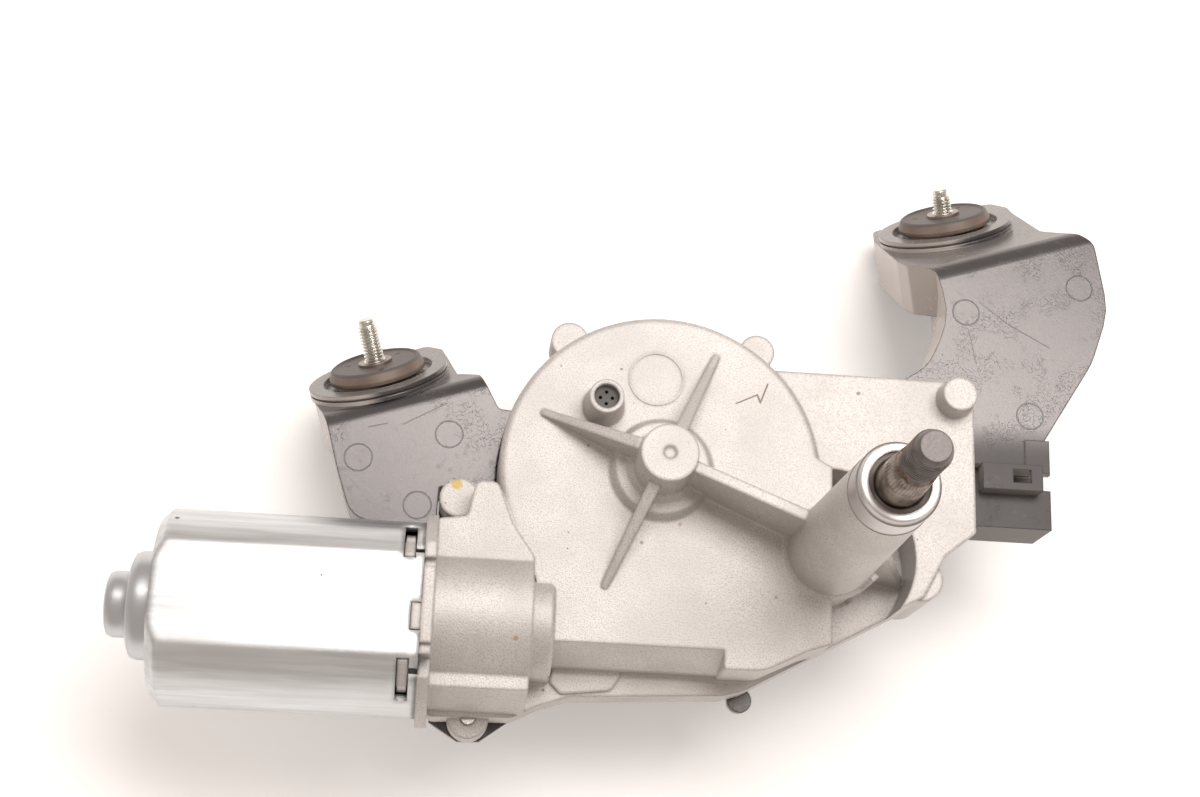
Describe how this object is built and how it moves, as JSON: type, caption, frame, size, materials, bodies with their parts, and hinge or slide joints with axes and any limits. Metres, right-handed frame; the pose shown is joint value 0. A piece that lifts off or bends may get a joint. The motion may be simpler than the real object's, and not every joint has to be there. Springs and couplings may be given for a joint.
{
  "type": "rear wiper motor",
  "caption": "Rear wiper motor with worm drive, cast gear housing, swinging spindle in a tall barrel, and a moulded rear cover with two rubber-mounted studs.",
  "frame": {"origin": "spindle axis at the foot of the barrel's machined collar", "axes": "+Z out along the spindle, +X parallel to the motor axis from the motor to the spindle, +Y towards the mounting studs"},
  "size_m": [0.2861, 0.1923, 0.1838],
  "materials": {
    "die_cast": "as cast, light blasted",
    "plated_steel": "zinc plated",
    "black_plastic": "moulded, fine grain",
    "seal_rubber": "moulded",
    "mount_rubber": "moulded, slightly bloomed",
    "filter": "porous white",
    "ferrite": "sintered",
    "bronze": "sintered, oiled",
    "phenolic": "moulded",
    "copper": "drawn",
    "nylon": "machined natural",
    "steel": "ground",
    "weathered_steel": "bare, lightly rusted"
  },
  "bodies": {
    "housing": {"gear_housing": "die_cast", "motor_can": "plated_steel", "rear_cover": "black_plastic", "cover_gasket": "seal_rubber", "cover_screws": "plated_steel", "breather_plug": "filter", "field_magnets": "ferrite", "rear_bearing": "bronze", "bearing_clip": "steel", "brush_holder": "phenolic", "carbon_brushes": "ferrite", "brush_springs": "steel", "choke_coils": "copper", "middle_bush": "bronze", "tip_bush": "bronze", "thrust_ball": "steel", "wheel_bush": "bronze", "contact_springs": "bronze", "lead_frame": "copper", "connector_terminals": "plated_steel", "spindle_bush_lower": "bronze", "spindle_bush_upper": "bronze", "spindle_seal": "seal_rubber", "grommet_left": "mount_rubber", "grommet_right": "mount_rubber", "sleeve_left": "plated_steel", "sleeve_right": "plated_steel", "stud_left": "plated_steel", "stud_right": "plated_steel"},
    "armature": {"armature_shaft": "steel", "armature_core": "steel", "armature_windings": "copper", "commutator": "copper"},
    "wheel": {"worm_wheel": "nylon", "wheel_shaft": "steel", "contact_ring": "bronze"},
    "output": {"wiper_spindle": "weathered_steel", "spindle_pinion": "steel", "spindle_circlip": "steel", "guide_clip": "steel"},
    "guide": {"guide_link": "steel", "link_pivot_pin": "steel"},
    "sector": {"sector_link": "steel", "crank_pin": "steel"}
  },
  "joints": [
    {"name": "armature_spin", "type": "hinge", "parent": "housing", "child": "armature", "pos_m": [-0.0487, -0.0238, -0.0795], "axis": [1, 0, 0], "continuous": true},
    {"name": "wheel_spin", "type": "hinge", "parent": "housing", "child": "wheel", "pos_m": [-0.0487, 0.021, -0.0795], "axis": [0, 0, 1], "continuous": true},
    {"name": "spindle_sweep", "type": "hinge", "parent": "housing", "child": "output", "pos_m": [0, 0, 0], "axis": [0, 0, 1], "range_deg": [0, 139.32]},
    {"name": "guide_swing", "type": "hinge", "parent": "housing", "child": "guide", "pos_m": [0, 0, -0.0975], "axis": [0, 0, 1], "range_deg": [0, 27.88]},
    {"name": "sector_swing", "type": "hinge", "parent": "guide", "child": "sector", "pos_m": [0.00162, 0.02996, -0.0945], "axis": [0, 0, 1], "range_deg": [-37.28, 0]}
  ],
  "couplings": [
    {"joint": "wheel_spin", "follows": "armature_spin", "ratio": -0.015625},
    {"joint": "guide_swing", "follows": "spindle_sweep", "ratio": 0.19939},
    {"joint": "sector_swing", "follows": "spindle_sweep", "ratio": -0.26687}
  ]
}
